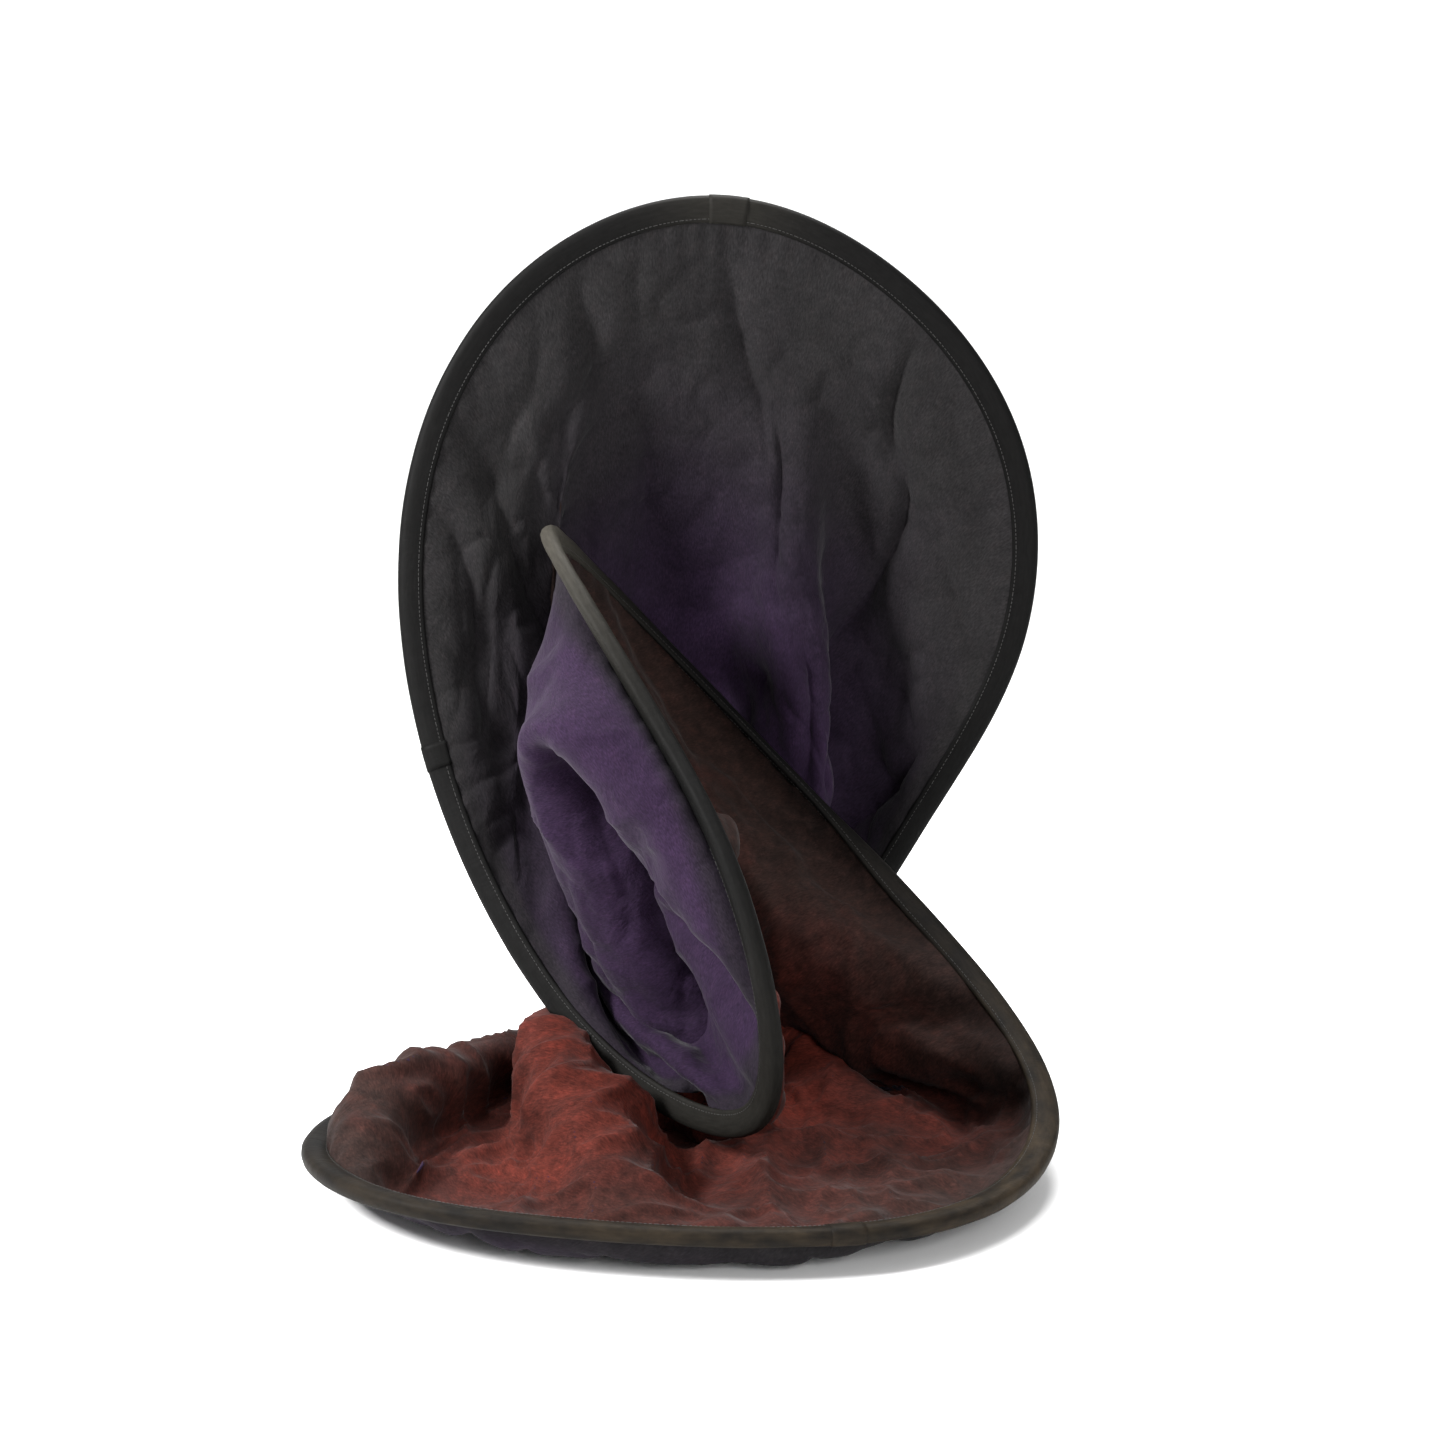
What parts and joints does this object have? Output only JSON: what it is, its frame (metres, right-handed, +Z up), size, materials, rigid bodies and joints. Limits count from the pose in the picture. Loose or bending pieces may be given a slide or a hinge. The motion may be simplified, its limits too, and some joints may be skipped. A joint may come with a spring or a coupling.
{
  "type": "collapsible two-sided backdrop panel",
  "caption": "Two-sided fabric panel on a sprung steel hoop, half twisted into its coils and standing on one lobe with the other lobes folded inside.",
  "frame": {"origin": "on the floor, at the middle of the flat underside of the floor lobe's panel", "axes": "+Z up, +X to the right and -Y towards whoever faces the standing lobe"},
  "size_m": [0.8254, 0.8128, 1.0478],
  "materials": {
    "front_fabric": "matt woven cotton, charcoal at the edge and violet towards the middle",
    "back_fabric": "matt woven cotton, brown-black at the edge and mottled red towards the middle",
    "binding_tape": "close satin-woven tape",
    "spring_steel": "blued, smooth rolled",
    "ferrule_steel": "zinc plated",
    "rivet_steel": "zinc plated"
  },
  "bodies": {
    "floor_lobe": {"back_panel_floor": "back_fabric", "back_panel_middle": "back_fabric", "front_panel_floor": "front_fabric", "front_panel_middle": "front_fabric", "rim_sleeve_floor": "binding_tape", "spring_band_floor": "spring_steel", "tape_join_front": "binding_tape"},
    "upper_lobe": {"back_panel_upper": "back_fabric", "band_ferrule": "ferrule_steel", "ferrule_rivets": "rivet_steel", "front_panel_upper": "front_fabric", "rim_sleeve_upper": "binding_tape", "spring_band_upper_left": "spring_steel", "spring_band_upper_right": "spring_steel", "tape_join_crest": "binding_tape", "tape_join_left": "binding_tape"},
    "inner_top_lobe": {"back_panel_inner_top": "back_fabric", "front_panel_inner_top": "front_fabric", "rim_sleeve_inner_top": "binding_tape", "spring_band_inner_top": "spring_steel"},
    "inner_bottom_lobe": {"back_panel_inner_bottom": "back_fabric", "front_panel_inner_bottom": "front_fabric", "rim_sleeve_inner_bottom": "binding_tape", "spring_band_inner_bottom": "spring_steel"}
  },
  "joints": [
    {"name": "upper_lobe_flex", "type": "hinge", "parent": "floor_lobe", "child": "upper_lobe", "pos_m": [-0.0034, 0.3308, 0.15905], "axis": [0.8076, 0.5542, -0.2017], "range_deg": [-10, 0], "stiffness_Nm_per_rad": 60},
    {"name": "inner_top_flex", "type": "hinge", "parent": "floor_lobe", "child": "inner_top_lobe", "pos_m": [0.15895, 0.1304, 0.3259], "axis": [-0.566, -0.702, 0.4322], "range_deg": [-6, 0], "stiffness_Nm_per_rad": 40},
    {"name": "inner_bottom_flex", "type": "hinge", "parent": "floor_lobe", "child": "inner_bottom_lobe", "pos_m": [-0.0701, 0.09495, 0.3111], "axis": [-0.5505, 0.6122, -0.5677], "range_deg": [-3, 8], "stiffness_Nm_per_rad": 30}
  ]
}
